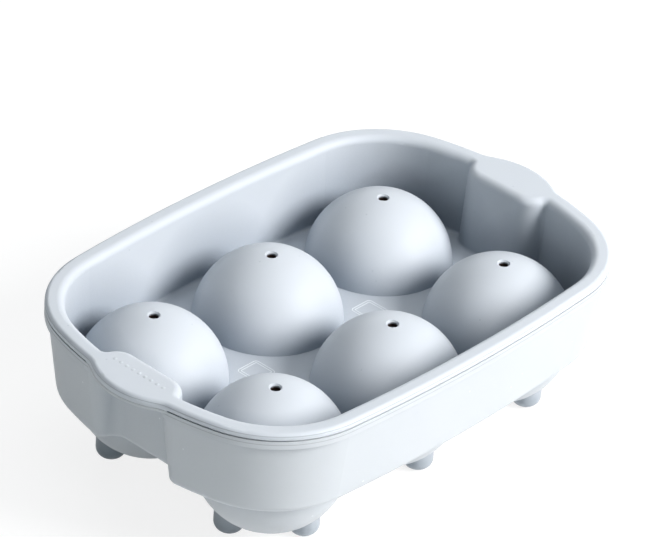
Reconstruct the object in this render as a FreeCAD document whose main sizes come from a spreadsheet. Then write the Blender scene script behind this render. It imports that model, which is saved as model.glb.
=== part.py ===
import FreeCAD, Part
import math
import os
import Sketcher

# Silicone mould for six ice balls: a lower tray with six cups on short legs, and an upper
# tray with six domes that nests in it. The two trays meet on the plane through the middle
# of the balls, and each body is modelled with that parting plane at its own z = 0.
# Origin: on the table under the middle of the mould; X is the long way, Z is up.

SIZES = {
    # balls
    "ball_diameter": 45.0,
    "shell_wall": 2.2,
    "ball_gap": 3.3,
    "columns": 3,
    "rows": 2,
    # outline of the rim, seen from above, from the outermost domes
    "end_margin": 14.3,
    "side_margin": 11.55,
    "corner_margin": 12.1,
    "long_side_radius": 650.0,
    "end_radius": 122.0,
    # finger recess in each end and the tab above it
    "recess_depth": 6.8,
    "recess_half_width": 9.0,
    "recess_bend": 0.32,
    "recess_inner_round": 0.8,
    "tab_projection": 4.0,
    "tab_radius": 26.4,
    "tab_blend": 10.0,
    # lower tray
    "tray_wall": 1.6,
    "lower_plate": 1.4,
    "lower_rim_height": 28.3,
    "lower_band": 2.8,
    "lower_band_step": 1.15,
    "lower_tab": 0.9,
    "lower_draft": 7.0,
    "lower_edge_round": 2.5,
    # legs
    "leg_tip_depth": 29.3,
    "leg_radius": 5.0,
    "leg_tip_round": 3.5,
    "leg_spread": 8.2,
    # upper tray
    "wall_clearance": 0.3,
    "upper_plate": 2.0,
    "upper_draft": 2.9,
    "flange": 2.2,
    "rim_gap": 0.5,
    "tab_gap": 0.15,
    "flange_inner_round": 2.6,
    "flange_outer_round": 1.5,
    "floor_round": 1.2,
    # filling hole on top of each dome
    "vent_diameter": 3.2,
    "vent_mouth": 0.6,
}

doc = FreeCAD.newDocument("ice_ball_mold")
sheet = doc.addObject("Spreadsheet::Sheet", "sizes")
for row, (name, value) in enumerate(SIZES.items(), start=1):
    sheet.set("A%d" % row, name)
    sheet.set("B%d" % row, str(value))
    sheet.setAlias("B%d" % row, name)
doc.recompute()


def size(name):
    return float(sheet.get(name))


def vec(x, y):
    return FreeCAD.Vector(x, y, 0)


# The grid of balls, and the rim that is drawn round it.
SHELL_RADIUS = "sizes.ball_diameter / 2 + sizes.shell_wall"
PITCH = "(sizes.ball_diameter + 2 * sizes.shell_wall + sizes.ball_gap)"
shell_radius = size("ball_diameter") / 2 + size("shell_wall")
ball_pitch = 2 * shell_radius + size("ball_gap")
rim_half_length = (size("columns") - 1) / 2 * ball_pitch + shell_radius + size("end_margin")
rim_half_width = (size("rows") - 1) / 2 * ball_pitch + shell_radius + size("side_margin")

# Heights above the parting plane, and how the drafted walls lean.
band_bottom = size("lower_rim_height") - size("lower_band")
flange_bottom = size("lower_rim_height") + size("rim_gap")
rim_top = flange_bottom + size("flange")
lean_lower = math.tan(math.radians(size("lower_draft")))
lean_upper = math.tan(math.radians(size("upper_draft")))


def lower_inset(height):
    """How far the lower tray's outer wall stands inside the rim outline at a height."""
    return size("lower_band_step") + (band_bottom - height) * lean_lower


def upper_inset(height, inside=False):
    """The same for the upper tray's wall, outside or inside."""
    inset = lower_inset(0) + size("tray_wall") + size("wall_clearance") - height * lean_upper
    return inset + size("tray_wall") if inside else inset


# Plan outlines. Each is a closed chain of tangent arcs, and one quarter of it is written as
# circles (centre, radius, sense), from the end of the tray round to its long side. Sense +1
# bulges out and -1 is hollow. An inset moves the whole line inwards by the same amount.

def meeting(centre_a, radius_a, centre_b, radius_b):
    """The crossing of two circles that has the larger y."""
    step = centre_b - centre_a
    gap = step.Length
    along = (radius_a ** 2 - radius_b ** 2 + gap ** 2) / (2 * gap)
    aside = math.sqrt(radius_a ** 2 - along ** 2)
    unit = step * (1 / gap)
    choices = [centre_a + unit * along + vec(-unit.y, unit.x) * side for side in (aside, -aside)]
    return max(choices, key=lambda point: point.y)


def side_circles():
    """The end, corner and long side of one quarter, without inset."""
    end_centre = vec(rim_half_length - size("end_radius"), 0)
    long_centre = vec(0, rim_half_width - size("long_side_radius"))
    corner = shell_radius + size("corner_margin")
    corner_centre = meeting(
        end_centre, size("end_radius") - corner, long_centre, size("long_side_radius") - corner)
    return [
        (end_centre, size("end_radius"), 1),
        (corner_centre, corner, 1),
        (long_centre, size("long_side_radius"), 1),
    ]


def recess_circles():
    """The quarter with the finger recess, whose flat face starts where the first circle ends.

    Its outer bend is tightest on the upper tray's floor, which is inset the most.
    """
    sides = side_circles()
    inner = size("recess_inner_round")
    outer = size("recess_bend") + upper_inset(size("upper_plate"), inside=True)
    recess_face = rim_half_length - size("recess_depth")
    inner_centre = vec(recess_face + inner, size("recess_half_width"))
    outer_centre = meeting(
        sides[0][0], size("end_radius") - outer, inner_centre, inner + outer)
    return [(inner_centre, inner, -1), (outer_centre, outer, 1)] + sides


def tab_circles():
    """The quarter with the tab that stands out over the finger recess."""
    sides = side_circles()
    blend = size("tab_blend")
    tab_centre = vec(rim_half_length + size("tab_projection") - size("tab_radius"), 0)
    blend_centre = meeting(
        sides[0][0], size("end_radius") + blend, tab_centre, size("tab_radius") + blend)
    return [(tab_centre, size("tab_radius"), 1), (blend_centre, blend, -1)] + sides


def touch(first, second):
    """Where two tangent circles touch."""
    centre_a, radius_a, sense_a = first
    centre_b, radius_b, sense_b = second
    away = centre_b - centre_a
    if sense_a == sense_b and radius_b > radius_a:
        away = centre_a - centre_b
    return centre_a + away * (radius_a / away.Length)


def mirrored(circle, across_x, across_y):
    centre, radius, sense = circle
    return (vec(centre.x * across_x, centre.y * across_y), radius, sense)


def outline(quarter, inset=0.0, flat_ends=False):
    """The closed outline as arcs and lines, anticlockwise from the middle of the +X end."""
    quarter = [(centre, radius - sense * inset, sense) for centre, radius, sense in quarter]
    end = quarter if flat_ends else quarter[1:]
    right = [mirrored(circle, 1, 1) for circle in quarter]
    right += [mirrored(circle, -1, 1) for circle in reversed(end[:-1])]
    left = [mirrored(circle, -1, -1) for circle in quarter]
    left += [mirrored(circle, 1, -1) for circle in reversed(end[:-1])]
    ring = right + left
    pieces = []
    for index, circle in enumerate(ring):
        start = touch(ring[index - 1], circle)
        finish = touch(circle, ring[(index + 1) % len(ring)])
        if flat_ends and index in (0, len(right)):
            start = level_with(circle)
            pieces.append(Part.LineSegment(vec(start.x, -start.y), start))
        if flat_ends and index in (len(right) - 1, len(ring) - 1):
            finish = level_with(circle)
        pieces.append(arc(circle, start, finish))
    return pieces


def level_with(circle):
    """Where a recess's rounded corner meets its flat face."""
    centre, radius, _ = circle
    return vec(centre.x - math.copysign(radius, centre.x), centre.y)


def arc(circle, start, end):
    """The arc of a circle between two of its points, on the side that its sense asks for."""
    centre, radius, sense = circle
    first = math.atan2(start.y - centre.y, start.x - centre.x)
    last = math.atan2(end.y - centre.y, end.x - centre.x)
    turn = (last - first) * sense
    if turn < 0:
        turn += 2 * math.pi
    middle = first + sense * turn / 2
    return Part.Arc(start, centre + vec(math.cos(middle), math.sin(middle)) * radius, end)


def plane(body, role):
    return next(item for item in body.Origin.OriginFeatures if item.Role == role)


def sketch_on(body, name, role, pieces, height=None):
    """A sketch on one of the body's own planes, with its lines held where they are drawn."""
    sketch = body.newObject("Sketcher::SketchObject", name)
    sketch.AttachmentSupport = [(plane(body, role), "")]
    sketch.MapMode = "FlatFace"
    sketch.addGeometry(pieces, False)
    for index in range(len(pieces)):
        sketch.addConstraint(Sketcher.Constraint("Block", index))
    if height:
        sketch.setExpression("AttachmentOffset.Base.z", height)
    return sketch


def loft(body, name, lower, upper, subtract=False):
    kind = "PartDesign::SubtractiveLoft" if subtract else "PartDesign::AdditiveLoft"
    feature = body.newObject(kind, name)
    feature.Profile = (lower, [""])
    feature.Sections = [(upper, [""])]
    feature.Ruled = True
    return feature


def pad(body, name, sketch, length):
    feature = body.newObject("PartDesign::Pad", name)
    feature.Profile = (sketch, [""])
    feature.setExpression("Length", length)
    return feature


def place_on_first_ball(feature, height="0"):
    """Attach a solid to the parting plane at the first ball of the pattern."""
    body = feature.getParentGeoFeatureGroup()
    feature.AttachmentSupport = [(plane(body, "XY_Plane"), "")]
    feature.MapMode = "FlatFace"
    feature.setExpression("AttachmentOffset.Base.x", "-(sizes.columns - 1) / 2 * " + PITCH)
    feature.setExpression("AttachmentOffset.Base.y", "-(sizes.rows - 1) / 2 * " + PITCH)
    feature.setExpression("AttachmentOffset.Base.z", height)


def half_ball(body, name, radius, upper, subtract=False):
    """A half ball above or below the parting plane."""
    kind = "PartDesign::SubtractiveSphere" if subtract else "PartDesign::AdditiveSphere"
    feature = body.newObject(kind, name)
    feature.setExpression("Radius", radius)
    feature.Angle1 = 0 if upper else -90
    feature.Angle2 = 90 if upper else 0
    place_on_first_ball(feature)
    return feature


def over_all_balls(body, name, features):
    """Repeat features at every ball of the grid."""
    steps = []
    for axis, count in (("X_Axis", "columns"), ("Y_Axis", "rows")):
        step = doc.addObject("PartDesign::LinearPattern", "%s_%s" % (name, count))
        step.Direction = (plane(body, axis), [""])
        step.setExpression("Length", "(sizes.%s - 1) * %s" % (count, PITCH))
        step.setExpression("Occurrences", "sizes.%s" % count)
        steps.append(step)
    grid = body.newObject("PartDesign::MultiTransform", name)
    grid.Originals = features
    grid.Transformations = steps
    body.Tip = grid
    return grid


def lies_at(face, height):
    """True for a flat face at this height."""
    return max(abs(face.BoundBox.ZMin - height), abs(face.BoundBox.ZMax - height)) < 0.01


def edges_round(feature, height, outer):
    """The outer line of the largest flat face at a height, or the lines of its holes."""
    face = max((face for face in feature.Shape.Faces if lies_at(face, height)),
               key=lambda face: face.Area)
    wires = [wire for wire in face.Wires if wire.isSame(face.OuterWire) == outer]
    wanted = [edge for wire in wires for edge in wire.Edges]
    return ["Edge%d" % number for number, edge in enumerate(feature.Shape.Edges, start=1)
            if any(edge.isSame(other) for other in wanted)]


def fillet(body, name, base, height, radius, outer=True):
    """Round the outer line of the flat face at a height, or the lines of its holes."""
    doc.recompute()
    feature = body.newObject("PartDesign::Fillet", name)
    feature.Base = (base, edges_round(base, height, outer))
    feature.setExpression("Radius", radius)
    return feature


def tab_plate(body, name, height, thickness):
    """A plate cut to the rim's outline with its two tabs."""
    sketch = sketch_on(body, name + "_outline", "XY_Plane", outline(tab_circles()), height)
    return pad(body, name, sketch, thickness)


def tab_lands(body):
    """The upper tabs are thicker than the flange, so that they close on the lower tabs."""
    tab, blend, end = tab_circles()[:3]
    knee = touch(tab, blend)
    root = touch(blend, end)
    for name, side in (("right", 1), ("left", -1)):
        knees = [vec(side * knee.x, -side * knee.y), vec(side * knee.x, side * knee.y)]
        roots = [vec(side * root.x, -side * root.y), vec(side * root.x, side * root.y)]
        pieces = [
            arc(mirrored(blend, side, -side), roots[0], knees[0]),
            arc(mirrored(tab, side, 1), knees[0], knees[1]),
            arc(mirrored(blend, side, side), knees[1], roots[1]),
            Part.LineSegment(roots[1], roots[0]),
        ]
        sketch = sketch_on(
            body, "tab_land_" + name, "XY_Plane", pieces, "sizes.lower_rim_height + sizes.tab_gap")
        pad(body, "upper_tab_" + name, sketch, "sizes.rim_gap - sizes.tab_gap")


# Lower tray: drafted outer wall, stepped rim band, tabs, cups and legs.
lower = doc.addObject("PartDesign::Body", "bottom_tray")
lower.Label = "bottom_tray"
foot = sketch_on(
    lower, "lower_foot", "XY_Plane",
    outline(recess_circles(), lower_inset(-size("lower_plate")), True), "-sizes.lower_plate")
head = sketch_on(
    lower, "lower_head", "XY_Plane",
    outline(recess_circles(), lower_inset(size("lower_rim_height")), True),
    "sizes.lower_rim_height")
loft(lower, "lower_wall", foot, head)
band = sketch_on(
    lower, "lower_band_outline", "XY_Plane", outline(recess_circles(), 0, True),
    "sizes.lower_rim_height - sizes.lower_band")
pad(lower, "lower_rim_band", band, "sizes.lower_band")
tab_plate(lower, "lower_tabs", "sizes.lower_rim_height - sizes.lower_tab", "sizes.lower_tab")
cup = half_ball(lower, "cup", SHELL_RADIUS, False)

leg_profile = [
    (0, -size("leg_tip_depth")),
    (size("leg_radius") - size("leg_tip_round"), -size("leg_tip_depth")),
    (size("leg_radius"), size("leg_tip_round") - size("leg_tip_depth")),
    (size("leg_radius"), -shell_radius / 2),
    (0, -shell_radius / 2),
]


def leg_sketch(name, side):
    """Half the section of one round-tipped leg, beside the first cup's axis."""
    points = [vec(x, y) for x, y in leg_profile]
    tip_centre = vec(points[1].x, points[2].y)
    tip = arc((tip_centre, size("leg_tip_round"), 1), points[1], points[2])
    lines = [Part.LineSegment(points[index], points[index + 1]) for index in (0, 2, 3)]
    pieces = [lines[0], tip, lines[1], lines[2], Part.LineSegment(points[4], points[0])]
    sketch = sketch_on(lower, name, "XZ_Plane", pieces)
    spread = "%d * sizes.leg_spread" % side
    sketch.setExpression(
        "AttachmentOffset.Base.x", "-(sizes.columns - 1) / 2 * %s + %s" % (PITCH, spread))
    sketch.setExpression(
        "AttachmentOffset.Base.z", "(sizes.rows - 1) / 2 * %s + %s" % (PITCH, spread))
    return sketch


legs = []
for name, side in (("leg_right", 1), ("leg_left", -1)):
    leg = lower.newObject("PartDesign::Revolution", name)
    section = leg_sketch(name + "_section", side)
    leg.Profile = (section, [""])
    leg.ReferenceAxis = (section, ["V_Axis"])
    legs.append(leg)
outside = over_all_balls(lower, "cups_and_legs", [cup] + legs)

inner_foot = sketch_on(
    lower, "lower_inner_foot", "XY_Plane",
    outline(recess_circles(), lower_inset(0) + size("tray_wall"), True))
inner_head = sketch_on(
    lower, "lower_inner_head", "XY_Plane",
    outline(recess_circles(), lower_inset(size("lower_rim_height")) + size("tray_wall"), True),
    "sizes.lower_rim_height")
loft(lower, "lower_space", inner_foot, inner_head, subtract=True)
cup_space = half_ball(lower, "cup_space", "sizes.ball_diameter / 2", False, subtract=True)
lower_inside = over_all_balls(lower, "cup_spaces", [cup_space])
lower.Tip = fillet(
    lower, "lower_edge", lower_inside, -size("lower_plate"), "sizes.lower_edge_round")
lower.setExpression("Placement.Base.z", "sizes.leg_tip_depth")

# Upper tray: drafted wall with a flange and tabs, floor, domes and filling holes.
upper = doc.addObject("PartDesign::Body", "top_tray")
upper.Label = "top_tray"
foot = sketch_on(upper, "upper_foot", "XY_Plane", outline(recess_circles(), upper_inset(0), True))
head = sketch_on(
    upper, "upper_head", "XY_Plane",
    outline(recess_circles(), upper_inset(flange_bottom), True),
    "sizes.lower_rim_height + sizes.rim_gap")
loft(upper, "upper_wall", foot, head)
tab_plate(upper, "upper_flange", "sizes.lower_rim_height + sizes.rim_gap", "sizes.flange")
tab_lands(upper)
inner_foot = sketch_on(
    upper, "upper_inner_foot", "XY_Plane",
    outline(recess_circles(), upper_inset(size("upper_plate"), inside=True), True),
    "sizes.upper_plate")
inner_head = sketch_on(
    upper, "upper_inner_head", "XY_Plane",
    outline(recess_circles(), upper_inset(rim_top, inside=True), True),
    "sizes.lower_rim_height + sizes.rim_gap + sizes.flange")
space = loft(upper, "upper_space", inner_foot, inner_head, subtract=True)
rounded = fillet(upper, "flange_outer_edge", space, rim_top, "sizes.flange_outer_round")
rounded = fillet(
    upper, "flange_inner_edge", rounded, rim_top, "sizes.flange_inner_round", outer=False)
fillet(upper, "floor_edge", rounded, size("upper_plate"), "sizes.floor_round")

dome = half_ball(upper, "dome", SHELL_RADIUS, True)
dome_space = half_ball(upper, "dome_space", "sizes.ball_diameter / 2", True, subtract=True)
vent = upper.newObject("PartDesign::SubtractiveCylinder", "vent")
vent.setExpression("Radius", "sizes.vent_diameter / 2")
vent.setExpression("Height", "sizes.ball_diameter / 2 + 2 * sizes.shell_wall")
place_on_first_ball(vent)
mouth = upper.newObject("PartDesign::SubtractiveCone", "vent_mouth")
mouth.setExpression("Radius1", "sizes.vent_diameter / 2")
mouth.setExpression("Radius2", "sizes.vent_diameter / 2 + 2 * sizes.vent_mouth")
mouth.setExpression("Height", "2 * sizes.vent_mouth")
place_on_first_ball(mouth, height=SHELL_RADIUS + " - sizes.vent_mouth")
over_all_balls(upper, "domes", [dome, dome_space, vent, mouth])
upper.setExpression("Placement.Base.z", "sizes.leg_tip_depth")
doc.recompute()

trays = [lower, upper]
for item in doc.Objects:
    if "Invalid" in item.State or "Error" in item.State:
        raise RuntimeError("%s failed: %s" % (item.Name, item.State))
for tray in trays:
    if tray.Shape.isNull() or not tray.Shape.isValid():
        raise RuntimeError("%s has no valid shape" % tray.Label)

os.makedirs("parts", exist_ok=True)
for tray in trays:
    tray.Shape.exportStep(os.path.join("parts", tray.Label + ".step"))
    box = tray.Shape.BoundBox
    print(tray.Label, "solids", len(tray.Shape.Solids), "volume", round(tray.Shape.Volume, 1),
          "z", round(box.ZMin, 3), round(box.ZMax, 3),
          "x", round(box.XMin, 3), round(box.XMax, 3))
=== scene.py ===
import math

import bmesh
import bpy
from mathutils import Matrix, Vector


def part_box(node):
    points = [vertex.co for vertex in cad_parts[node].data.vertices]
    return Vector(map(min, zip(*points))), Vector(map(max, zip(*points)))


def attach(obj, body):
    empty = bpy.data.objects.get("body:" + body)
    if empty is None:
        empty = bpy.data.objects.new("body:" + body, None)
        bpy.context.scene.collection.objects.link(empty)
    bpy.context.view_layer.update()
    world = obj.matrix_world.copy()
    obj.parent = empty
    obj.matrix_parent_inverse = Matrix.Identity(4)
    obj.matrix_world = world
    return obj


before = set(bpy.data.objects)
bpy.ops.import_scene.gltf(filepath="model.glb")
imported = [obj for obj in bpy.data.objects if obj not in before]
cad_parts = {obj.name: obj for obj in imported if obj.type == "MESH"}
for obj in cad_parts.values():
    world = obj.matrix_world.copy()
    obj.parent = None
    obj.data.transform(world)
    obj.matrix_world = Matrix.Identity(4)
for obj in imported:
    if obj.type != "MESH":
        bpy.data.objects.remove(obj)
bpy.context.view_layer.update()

# The object: two moulded silicone trays. Sizes in metres.
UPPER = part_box("top_tray")
PARTING = UPPER[0][2]
RIM_TOP = UPPER[1][2]
PITCH = 0.0527
SHELL_RADIUS = 0.0247
DOME_TOP = PARTING + SHELL_RADIUS
FLOOR = PARTING + 0.002
LOWER_RIM = PARTING + 0.0283

# Painted shade: the filling hole on top of each dome keeps its own colour at its mouth and is
# painted dark further down.
VENT_RADIUS = 0.0016
VENT_MARGIN = 1.06
VENT_DEPTH = 0.0026
VENT_LIT = 0.0006
VENT_FADE = 0.0007

# The flash line of the mould's tooling runs round each rim, a little off its middle; the shade
# of its tiny groove is painted as a dark line.
UPPER_LINE = LOWER_RIM + 0.00175
LOWER_LINE = LOWER_RIM - 0.0012
LINE_WIDTH = 0.00016
LINE_SHARE = 0.55
OUTWARD = 0.01

# A row of small dots stands on the near tab.
DOTS = 9
DOT_STEP = 0.0026
DOT_CREST = 1.5
DOT_SLOPE = 0.00048
DOT_ROW_X = -0.0852
DOT_HEIGHT = 0.00025
DOT_STRENGTH = 0.6
TAB_SKIN = 0.0002

# The skin: its grain, its broad faint tint, and specks in some cells of a fine pattern.
GRAIN_SCALE = 2600.0
GRAIN_HEIGHT = 0.00006
GRAIN_STRENGTH = 0.12
TINT_SCALE = 28.0
SPECK_SCALE = 230.0
SPECK_SIZE = 0.075
SPECK_CHOICE = 0.77
SPECK_SHARE = 0.5

# Painted shade: hollows are darkened by an ambient occlusion mask, out to a reach that differs
# between the trays.
LOWER_SHADE_REACH = 0.045
UPPER_SHADE_REACH = 0.017
OCCLUSION_SHADE_SAMPLES = 6
OCCLUSION_SHADE_SHARE = 0.7

# Painted shade: the legs and the bottoms of the cups are darkened towards the bottom.
FOOT_SHADE_TOP = 0.014
FOOT_SHADE_FADE = 0.01
FOOT_SHADE_SHARE = 0.42

# The raised outlines on the floor. Their foot is sunk into it.
MARK_Y = 0.0058
MARK_HALF = 0.0046
MARK_CORNER = 0.0014
MARK_SLOPE = 0.0001
MARK_LINE = 0.00022
MARK_GAP = 0.0005
MARK_RISE = 0.00009
MARK_FOOT = 0.0001

# The table top shows the object's shadow out to here, and is plain white beyond.
SHADOW_REACH = 0.35
SHADOW_FADE = 0.3
TABLE_HALF = 3.0
TABLE_GLOW = 0.83
TABLE_SHADE = 0.24
TABLE_BOUNCE = 0.92

# Each lamp: its name, place, width, power in watts and colour.
LAMPS = (
    ("key", (0.50, -1.13, 0.84), 0.76, 30.0, (1.0, 0.99, 0.98)),
    ("overhead", (0.05, 0.0, 1.65), 1.3, 8.4, (0.95, 0.98, 1.0)),
    ("left_fill", (-1.3, -0.6, 0.2), 0.6, 1.7, (0.84, 1.0, 1.0)),
    ("back_fill", (0.95, 1.05, 0.42), 0.8, 3.2, (0.9, 0.97, 1.0)),
)
WORLD_COLOUR = (0.83, 0.94, 1.0, 1.0)
WORLD_STRENGTH = 0.10

# The photograph's camera, fitted to the outlines of the domes and the rim.
PHOTO_WIDTH = 657
FOCAL_PIXELS = 4000.0
SENSOR = 36.0
CAMERA_YAW = math.radians(48.9)
CAMERA_DOWN = math.radians(32.77)
CAMERA_ROLL = math.radians(4.24)
CAMERA_DISTANCE = 1.2765
CAMERA_END = 20.0
AIM = Vector((0.0101, 0.01066, PARTING + 0.0227))


def srgb(red, green, blue):
    """A colour read off as 0 to 255 values, as the linear one that materials take."""
    def linear(value):
        value /= 255
        return value / 12.92 if value <= 0.04045 else ((value + 0.055) / 1.055) ** 2.4
    return (linear(red), linear(green), linear(blue), 1.0)


def grey(value):
    return (value, value, value, 1.0)


# The lower tray's skin is a slightly darker copy of the upper's, as painted shade, so that its
# brightly lit near wall stays below white.
LOWER_SKIN_PAINTED_DARKER = srgb(197, 201, 206), srgb(193, 198, 203)
UPPER_SKIN = srgb(204, 209, 216), srgb(200, 206, 213)
# The colour of the painted shade in hollows and towards the bottom.
PAINTED_SHADE = srgb(104, 119, 135)
PALE_SPECK = srgb(236, 239, 242)
DULL_SPECK = srgb(176, 184, 192)
FLASH_LINE_PAINTED_SHADE = srgb(96, 102, 108)
PAINTED_VENT_SHADE = srgb(48, 36, 32)
WHITE = grey(1.0)


def node(tree, kind, **inputs):
    """A shader node, with the values of its inputs."""
    made = tree.nodes.new(kind)
    for name, value in inputs.items():
        made.inputs[name.replace("_", " ")].default_value = value
    return made


def math_node(tree, operation, first, second=None, clamp=False):
    """A maths step: each input is a socket or a plain number."""
    step = tree.nodes.new("ShaderNodeMath")
    step.operation = operation
    step.use_clamp = clamp
    for index, value in enumerate((first, second)):
        if value is None:
            continue
        if isinstance(value, (int, float)):
            step.inputs[index].default_value = value
        else:
            tree.links.new(value, step.inputs[index])
    return step.outputs[0]


def place_in(tree):
    """The X, Y and Z of the shaded point in the object's own coordinates."""
    place = tree.nodes.new("ShaderNodeTexCoord")
    split = tree.nodes.new("ShaderNodeSeparateXYZ")
    tree.links.new(place.outputs["Object"], split.inputs["Vector"])
    return [split.outputs[axis] for axis in "XYZ"]


def distance_in_plan(tree, across, along):
    squares = [math_node(tree, "MULTIPLY", value, value) for value in (across, along)]
    return math_node(tree, "SQRT", math_node(tree, "ADD", *squares))


def off_nearest(tree, value, step):
    """How far a value is from the nearest whole multiple of a step."""
    half = step / 2
    folded = math_node(tree, "PINGPONG", math_node(tree, "ADD", value, half), half)
    return math_node(tree, "SUBTRACT", half, folded)


def start_group(name, **outputs):
    """A new node group with these outputs, and its output node."""
    group = bpy.data.node_groups.new(name, "ShaderNodeTree")
    for socket, kind in outputs.items():
        group.interface.new_socket(socket, in_out="OUTPUT", socket_type=kind)
    return group, group.nodes.new("NodeGroupOutput")


def grain_group():
    """The fine matte skin of moulded silicone: a bump normal and a faint tint mask."""
    group, out = start_group(
        "silicone_grain", Normal="NodeSocketVector", Tint="NodeSocketFloat")
    place = group.nodes.new("ShaderNodeTexCoord")
    fine = node(group, "ShaderNodeTexNoise", Scale=GRAIN_SCALE, Detail=2.0)
    broad = node(group, "ShaderNodeTexNoise", Scale=TINT_SCALE, Detail=1.0)
    bump = node(group, "ShaderNodeBump", Strength=GRAIN_STRENGTH, Distance=GRAIN_HEIGHT)
    for noise in (fine, broad):
        group.links.new(place.outputs["Object"], noise.inputs["Vector"])
    group.links.new(fine.outputs["Fac"], bump.inputs["Height"])
    group.links.new(bump.outputs["Normal"], out.inputs["Normal"])
    group.links.new(broad.outputs["Fac"], out.inputs["Tint"])
    return group


def vent_shade_group():
    """Painted shade inside the filling holes: 0 at the mouth, 1 further down the hole."""
    group, out = start_group("vent_shade", Mask="NodeSocketFloat")
    x, y, z = place_in(group)
    across = off_nearest(group, x, PITCH)
    along = math_node(group, "SUBTRACT", PITCH / 2, math_node(group, "ABSOLUTE", y))
    radius = distance_in_plan(group, across, along)
    narrow = math_node(group, "LESS_THAN", radius, VENT_RADIUS * VENT_MARGIN)
    high = math_node(group, "GREATER_THAN", z, DOME_TOP - VENT_DEPTH)
    inward = math_node(group, "SUBTRACT", DOME_TOP - VENT_LIT, z)
    deep = math_node(group, "DIVIDE", inward, VENT_FADE, clamp=True)
    held = math_node(group, "MULTIPLY", narrow, high)
    group.links.new(math_node(group, "MULTIPLY", held, deep), out.inputs["Mask"])
    return group


def flash_line_shade_group():
    """1 on the painted shade of the thin flash line round the outside of a rim, at the height
    that it is given.
    """
    group, out = start_group("flash_line_painted_shade", Mask="NodeSocketFloat")
    group.interface.new_socket("Height", in_out="INPUT", socket_type="NodeSocketFloat")
    given = group.nodes.new("NodeGroupInput")
    x, y, z = place_in(group)
    normal = group.nodes.new("ShaderNodeTexCoord")
    facing = group.nodes.new("ShaderNodeSeparateXYZ")
    group.links.new(normal.outputs["Normal"], facing.inputs["Vector"])
    outward = math_node(
        group, "ADD", math_node(group, "MULTIPLY", x, facing.outputs["X"]),
        math_node(group, "MULTIPLY", y, facing.outputs["Y"]))
    outside = math_node(group, "GREATER_THAN", outward, OUTWARD)
    off_line = math_node(group, "SUBTRACT", z, given.outputs["Height"])
    away = math_node(group, "DIVIDE", math_node(group, "ABSOLUTE", off_line), LINE_WIDTH)
    near = math_node(group, "SUBTRACT", 1.0, away, clamp=True)
    group.links.new(math_node(group, "MULTIPLY", near, outside), out.inputs["Mask"])
    return group


def dots_group():
    """The height of the row of small raised dots on the near tab."""
    group, out = start_group("tab_dots", Height="NodeSocketFloat")
    x, y, z = place_in(group)
    across = math_node(group, "SUBTRACT", x, DOT_ROW_X)
    radius = distance_in_plan(group, across, off_nearest(group, y, DOT_STEP))
    fall = math_node(group, "DIVIDE", radius, DOT_SLOPE)
    dot = math_node(group, "SUBTRACT", DOT_CREST, fall, clamp=True)
    in_row = math_node(
        group, "LESS_THAN", math_node(group, "ABSOLUTE", y), DOTS * DOT_STEP / 2)
    on_top = math_node(group, "GREATER_THAN", z, RIM_TOP - TAB_SKIN)
    held = math_node(group, "MULTIPLY", in_row, on_top)
    group.links.new(math_node(group, "MULTIPLY", dot, held), out.inputs["Height"])
    return group


def speck_group():
    """Sparse tiny specks, as dust and pits on the skin."""
    group, out = start_group("specks", Mask="NodeSocketFloat")
    place = group.nodes.new("ShaderNodeTexCoord")
    cells = node(group, "ShaderNodeTexVoronoi", Scale=SPECK_SCALE)
    group.links.new(place.outputs["Object"], cells.inputs["Vector"])
    split = group.nodes.new("ShaderNodeSeparateColor")
    group.links.new(cells.outputs["Color"], split.inputs["Color"])
    spot = math_node(group, "LESS_THAN", cells.outputs["Distance"], SPECK_SIZE)
    chosen = math_node(group, "GREATER_THAN", split.outputs["Red"], SPECK_CHOICE)
    group.links.new(math_node(group, "MULTIPLY", spot, chosen), out.inputs["Mask"])
    return group


GRAIN = grain_group()
VENT_SHADE_MASK = vent_shade_group()
FLASH_LINE_SHADE = flash_line_shade_group()
TAB_DOTS = dots_group()
SPECKS = speck_group()


def use(tree, group):
    made = tree.nodes.new("ShaderNodeGroup")
    made.node_tree = group
    return made


def mixed(tree, factor, first, second):
    """One colour over another: each is a socket or a plain colour."""
    mix = tree.nodes.new("ShaderNodeMix")
    mix.data_type = "RGBA"
    tree.links.new(factor, mix.inputs["Factor"])
    for name, value in (("A", first), ("B", second)):
        if isinstance(value, tuple):
            mix.inputs[name].default_value = value
        else:
            tree.links.new(value, mix.inputs[name])
    return mix.outputs["Result"]


def partly(tree, mask, share, under, over):
    """A colour laid over another where the mask is, at a share of its full strength."""
    return mixed(tree, math_node(tree, "MULTIPLY", mask, share), under, over)


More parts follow.
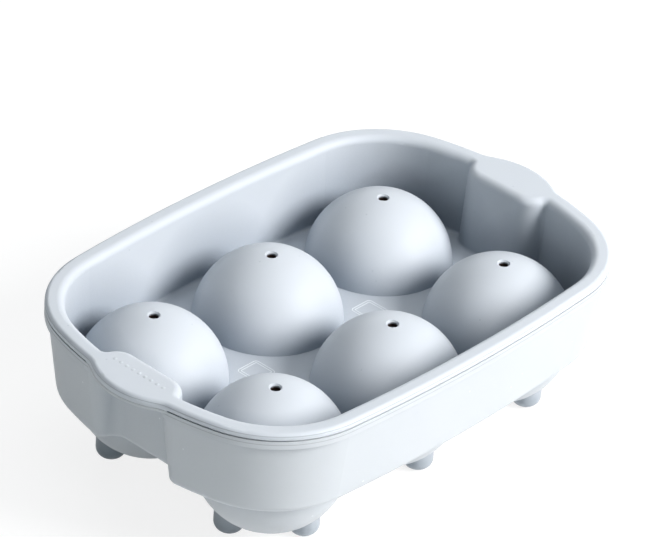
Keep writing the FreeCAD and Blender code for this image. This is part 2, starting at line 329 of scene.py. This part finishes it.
def silicone(name, skin, line_height, speck_colour, shade_reach):
    """The matte moulded silicone of one tray, with painted shade in its hollows, towards the
    bottom, in the filling holes and along the flash line.
    """
    material = bpy.data.materials.new(name)
    material.use_nodes = True
    tree = material.node_tree
    shader = tree.nodes["Principled BSDF"]
    for socket, value in (
            ("Roughness", 0.52), ("IOR", 1.41), ("Specular IOR Level", 0.4),
            ("Subsurface Weight", 0.12), ("Subsurface Radius", (1.0, 1.0, 1.2)),
            ("Subsurface Scale", 0.0015)):
        shader.inputs[socket].default_value = value
    grain = use(tree, GRAIN)
    line = use(tree, FLASH_LINE_SHADE)
    line.inputs["Height"].default_value = line_height
    colour = mixed(tree, grain.outputs["Tint"], *skin)
    # Painted shade: darker where the tray's own shape closes round a point.
    occlusion_shade = node(tree, "ShaderNodeAmbientOcclusion", Distance=shade_reach)
    occlusion_shade.samples = OCCLUSION_SHADE_SAMPLES
    occlusion_shade.only_local = True
    painted_shade_mask = math_node(tree, "SUBTRACT", 1.0, occlusion_shade.outputs["AO"])
    colour = partly(tree, painted_shade_mask, OCCLUSION_SHADE_SHARE, colour, PAINTED_SHADE)
    # Painted shade, darker towards the bottom of the legs and cups.
    above = math_node(tree, "SUBTRACT", FOOT_SHADE_TOP, place_in(tree)[2])
    foot_shade = math_node(tree, "DIVIDE", above, FOOT_SHADE_FADE, clamp=True)
    colour = partly(tree, foot_shade, FOOT_SHADE_SHARE, colour, PAINTED_SHADE)
    specks = use(tree, SPECKS)
    colour = partly(tree, specks.outputs["Mask"], SPECK_SHARE, colour, speck_colour)
    # Painted shade along the flash line.
    colour = partly(tree, line.outputs["Mask"], LINE_SHARE, colour, FLASH_LINE_PAINTED_SHADE)
    # Painted shade inside the filling holes.
    colour = mixed(tree, use(tree, VENT_SHADE_MASK).outputs["Mask"], colour, PAINTED_VENT_SHADE)
    tree.links.new(colour, shader.inputs["Base Color"])
    dots = node(tree, "ShaderNodeBump", Strength=DOT_STRENGTH, Distance=DOT_HEIGHT)
    tree.links.new(use(tree, TAB_DOTS).outputs["Height"], dots.inputs["Height"])
    tree.links.new(grain.outputs["Normal"], dots.inputs["Normal"])
    tree.links.new(dots.outputs["Normal"], shader.inputs["Normal"])
    return material


def dress(name, material):
    """A CAD node that keeps its own shape gets its finish."""
    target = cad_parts[name]
    target.data.materials.clear()
    target.data.materials.append(material)


def floor_mark(name, centre_x, centre_y, material):
    """Two plain raised square outlines, one in the other, on the floor between four domes."""
    mesh = bmesh.new()
    place = Matrix.Translation((centre_x, centre_y, FLOOR - MARK_FOOT))
    bmesh.ops.create_circle(
        mesh, cap_ends=True, radius=MARK_HALF * math.sqrt(2), segments=4,
        matrix=place @ Matrix.Rotation(math.pi / 4, 4, "Z"))
    bmesh.ops.bevel(mesh, geom=mesh.verts[:], offset=MARK_CORNER, segments=6, profile=0.5,
                    affect="VERTICES", material=-1)
    middle = mesh.faces[:][0]
    if middle.normal.z < 0:
        middle.normal_flip()
    climb = MARK_FOOT + MARK_RISE
    hidden = []
    for _ in range(2):
        for width, step in ((MARK_SLOPE, climb), (MARK_LINE, 0.0), (MARK_SLOPE, -climb)):
            bmesh.ops.inset_individual(
                mesh, faces=[middle], thickness=width, depth=step, use_even_offset=True)
        gap = bmesh.ops.inset_individual(
            mesh, faces=[middle], thickness=MARK_GAP, depth=0.0, use_even_offset=True)
        hidden += gap["faces"]
    bmesh.ops.delete(mesh, geom=hidden + [middle], context="FACES")
    data = bpy.data.meshes.new(name)
    mesh.to_mesh(data)
    mesh.free()
    data.materials.append(material)
    data.shade_smooth()
    piece = bpy.data.objects.new(name, data)
    bpy.context.scene.collection.objects.link(piece)
    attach(piece, "upper")


def bare_tree(owner):
    """The empty node tree of a material or world, and its output node."""
    owner.use_nodes = True
    tree = owner.node_tree
    tree.nodes.clear()
    world = isinstance(owner, bpy.types.World)
    return tree, tree.nodes.new("ShaderNodeOutputWorld" if world else "ShaderNodeOutputMaterial")


def show(tree, out, shown, lit):
    """What is seen directly or mirrored is one shader, and the light comes from the other."""
    path = tree.nodes.new("ShaderNodeLightPath")
    directly = path.outputs["Is Camera Ray"]
    for name in ("Is Glossy Ray", "Is Transmission Ray"):
        directly = math_node(tree, "ADD", directly, path.outputs[name], clamp=True)
    mix = tree.nodes.new("ShaderNodeMixShader")
    tree.links.new(directly, mix.inputs["Fac"])
    tree.links.new(lit, mix.inputs[1])
    tree.links.new(shown, mix.inputs[2])
    tree.links.new(mix.outputs["Shader"], out.inputs["Surface"])


def white_stage():
    """The plain white table top of the photograph, with the object's soft shadow on it."""
    material = bpy.data.materials.new("white_stage")
    tree, out = bare_tree(material)
    glow = node(tree, "ShaderNodeEmission", Color=WHITE, Strength=TABLE_GLOW)
    shaded = node(tree, "ShaderNodeBsdfDiffuse", Color=grey(TABLE_SHADE))
    near_object = tree.nodes.new("ShaderNodeAddShader")
    tree.links.new(glow.outputs["Emission"], near_object.inputs[0])
    tree.links.new(shaded.outputs["BSDF"], near_object.inputs[1])
    plain = node(tree, "ShaderNodeEmission", Color=WHITE, Strength=1.0)
    x, y, _ = place_in(tree)
    beyond = math_node(tree, "SUBTRACT", distance_in_plan(tree, x, y), SHADOW_REACH)
    seen = tree.nodes.new("ShaderNodeMixShader")
    tree.links.new(
        math_node(tree, "DIVIDE", beyond, SHADOW_FADE, clamp=True), seen.inputs["Fac"])
    tree.links.new(near_object.outputs["Shader"], seen.inputs[1])
    tree.links.new(plain.outputs["Emission"], seen.inputs[2])
    lit = node(tree, "ShaderNodeBsdfDiffuse", Color=grey(TABLE_BOUNCE))
    show(tree, out, seen.outputs["Shader"], lit.outputs["BSDF"])
    mesh = bmesh.new()
    bmesh.ops.create_grid(mesh, x_segments=1, y_segments=1, size=TABLE_HALF)
    data = bpy.data.meshes.new("table_top")
    mesh.to_mesh(data)
    mesh.free()
    data.materials.append(material)
    table_top = bpy.data.objects.new("table_top", data)
    bpy.context.scene.collection.objects.link(table_top)


def soft_world():
    """Even light from all round, with a white background for the camera."""
    world = bpy.data.worlds.new("studio")
    tree, out = bare_tree(world)
    fill = node(tree, "ShaderNodeBackground", Color=WORLD_COLOUR, Strength=WORLD_STRENGTH)
    seen = node(tree, "ShaderNodeBackground", Color=WHITE, Strength=1.0)
    show(tree, out, seen.outputs["Background"], fill.outputs["Background"])
    bpy.context.scene.world = world


def area_light(name, place, width, power, colour):
    """A round soft lamp that points at the middle of the object."""
    lamp = bpy.data.lights.new(name, "AREA")
    lamp.shape = "DISK"
    lamp.size = width
    lamp.energy = power
    lamp.color = colour
    lit = bpy.data.objects.new(name, lamp)
    lit.location = place
    lit.rotation_mode = "QUATERNION"
    towards = Vector((0, 0, PARTING)) - Vector(place)
    lit.rotation_quaternion = towards.to_track_quat("-Z", "Y")
    bpy.context.scene.collection.objects.link(lit)


def photo_camera():
    """The camera of the photograph, turned and rolled as it was held."""
    ahead = Vector((
        math.sin(CAMERA_YAW) * math.cos(CAMERA_DOWN),
        math.cos(CAMERA_YAW) * math.cos(CAMERA_DOWN),
        -math.sin(CAMERA_DOWN)))
    level_right = Vector((math.cos(CAMERA_YAW), -math.sin(CAMERA_YAW), 0))
    level_up = level_right.cross(ahead)
    right = level_right * math.cos(CAMERA_ROLL) + level_up * math.sin(CAMERA_ROLL)
    above = level_up * math.cos(CAMERA_ROLL) - level_right * math.sin(CAMERA_ROLL)
    turned = Matrix((right, above, -ahead)).transposed().to_4x4()
    lens = bpy.data.cameras.new("photo_camera")
    lens.sensor_fit = "HORIZONTAL"
    lens.sensor_width = SENSOR
    lens.lens = FOCAL_PIXELS / PHOTO_WIDTH * SENSOR
    lens.clip_end = CAMERA_END
    camera = bpy.data.objects.new("photo_camera", lens)
    camera.matrix_world = Matrix.Translation(AIM - ahead * CAMERA_DISTANCE) @ turned
    bpy.context.scene.collection.objects.link(camera)
    bpy.context.scene.camera = camera


dress("bottom_tray", silicone(
    "lower_silicone", LOWER_SKIN_PAINTED_DARKER, LOWER_LINE, PALE_SPECK, LOWER_SHADE_REACH))
dress("top_tray", silicone(
    "upper_silicone", UPPER_SKIN, UPPER_LINE, DULL_SPECK, UPPER_SHADE_REACH))

# The marks have the paler finish of the upper tray.
mark_finish = bpy.data.materials["upper_silicone"]
floor_mark("floor_mark_left", -PITCH / 2, MARK_Y, mark_finish)
floor_mark("floor_mark_right", PITCH / 2, MARK_Y, mark_finish)

white_stage()
soft_world()
for lamp in LAMPS:
    area_light(*lamp)
photo_camera()
bpy.context.scene.view_settings.view_transform = "Standard"
